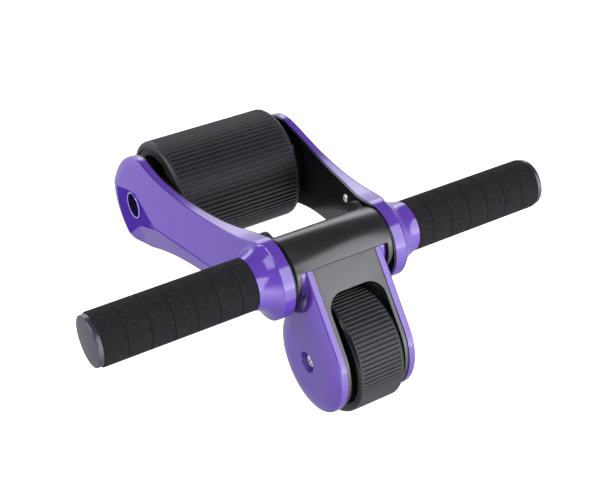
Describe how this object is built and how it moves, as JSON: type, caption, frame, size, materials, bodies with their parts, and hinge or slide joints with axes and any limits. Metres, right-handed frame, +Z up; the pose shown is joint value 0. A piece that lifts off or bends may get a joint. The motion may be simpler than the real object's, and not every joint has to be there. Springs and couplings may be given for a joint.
{
  "type": "ab wheel roller",
  "caption": "Ab roller with foam grips on a cross tube, splayed arms carrying a wide ribbed rear roller, and a folding fork with a narrow ribbed front wheel.",
  "frame": {"origin": "on the floor, in the middle of the footprint: half-way between the grip ends and half-way between the front of the front wheel and the back of the rear roller", "axes": "+X along the handle towards the right grip, +Y back towards the wide roller, +Z up"},
  "size_m": [0.338, 0.2608, 0.1136],
  "materials": {
    "purple": "gloss moulded purple",
    "black": "satin moulded black",
    "core": "matt moulded black",
    "nylon": "dark self-lubricating nylon",
    "tread": "matt ribbed rubber",
    "foam": "closed-cell foam rubber",
    "steel": "plated steel",
    "zinc": "zinc-plated steel"
  },
  "bodies": {
    "frame": {"handle_tube": "steel", "left_grip": "foam", "right_grip": "foam", "left_end_cap": "black", "right_end_cap": "black", "centre_housing": "black", "left_arm_shell": "purple", "right_arm_shell": "purple", "left_inner_plate": "black", "right_inner_plate": "black", "rear_axle": "steel", "rear_axle_screws": "zinc", "axle_spacers": "nylon", "arm_screws": "zinc"},
    "fork": {"left_fork_plate": "purple", "right_fork_plate": "purple", "fork_cover": "black", "fork_bushes": "nylon", "front_axle": "steel", "front_axle_screws": "zinc"},
    "roller": {"roller_tread": "tread", "roller_core": "core", "roller_bushes": "nylon"},
    "wheel": {"wheel_tread": "tread", "wheel_hub": "core", "wheel_bushes": "nylon"}
  },
  "joints": [
    {"name": "roller_spin", "type": "hinge", "parent": "frame", "child": "roller", "pos_m": [0, 0.08905, 0.0414], "axis": [1, 0, 0], "continuous": true},
    {"name": "fork_fold", "type": "hinge", "parent": "frame", "child": "fork", "pos_m": [0, -0.05305, 0.0919], "axis": [1, 0, 0], "range_deg": [0, 90]},
    {"name": "wheel_spin", "type": "hinge", "parent": "fork", "child": "wheel", "pos_m": [0, -0.09035, 0.0401], "axis": [1, 0, 0], "continuous": true}
  ]
}
